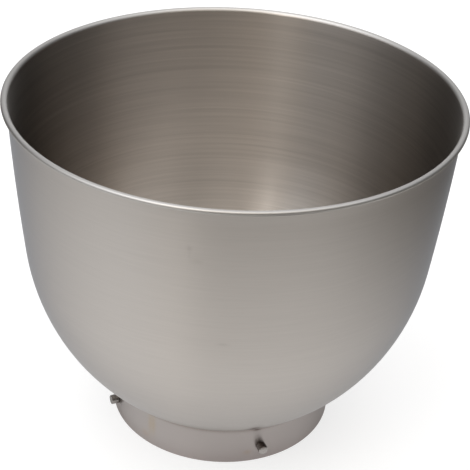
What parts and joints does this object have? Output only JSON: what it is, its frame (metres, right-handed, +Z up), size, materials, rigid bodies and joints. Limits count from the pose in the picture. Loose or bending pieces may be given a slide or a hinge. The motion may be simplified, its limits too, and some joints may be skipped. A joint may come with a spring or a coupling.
{
  "type": "stand mixer bowl",
  "caption": "Round drawn steel mixing bowl with a tucked rim, on a ring foot whose radial pins lock into the base of a stand mixer.",
  "frame": {"origin": "middle of the circle that the foot's lower edge makes on the table", "axes": "+Z up the bowl's axis, out of the mouth; -Y is the side that faces the viewer in the picture"},
  "size_m": [0.224, 0.224, 0.1815],
  "materials": {
    "bowl_steel": "satin, brushed round the axis",
    "foot_steel": "satin, brushed round the ring",
    "pin_steel": "turned, plain"
  },
  "bodies": {
    "root": {"mixing_bowl": "bowl_steel", "foot_ring": "foot_steel", "locking_pin_1": "pin_steel", "locking_pin_2": "pin_steel", "locking_pin_3": "pin_steel", "locking_pin_4": "pin_steel"}
  },
  "joints": []
}
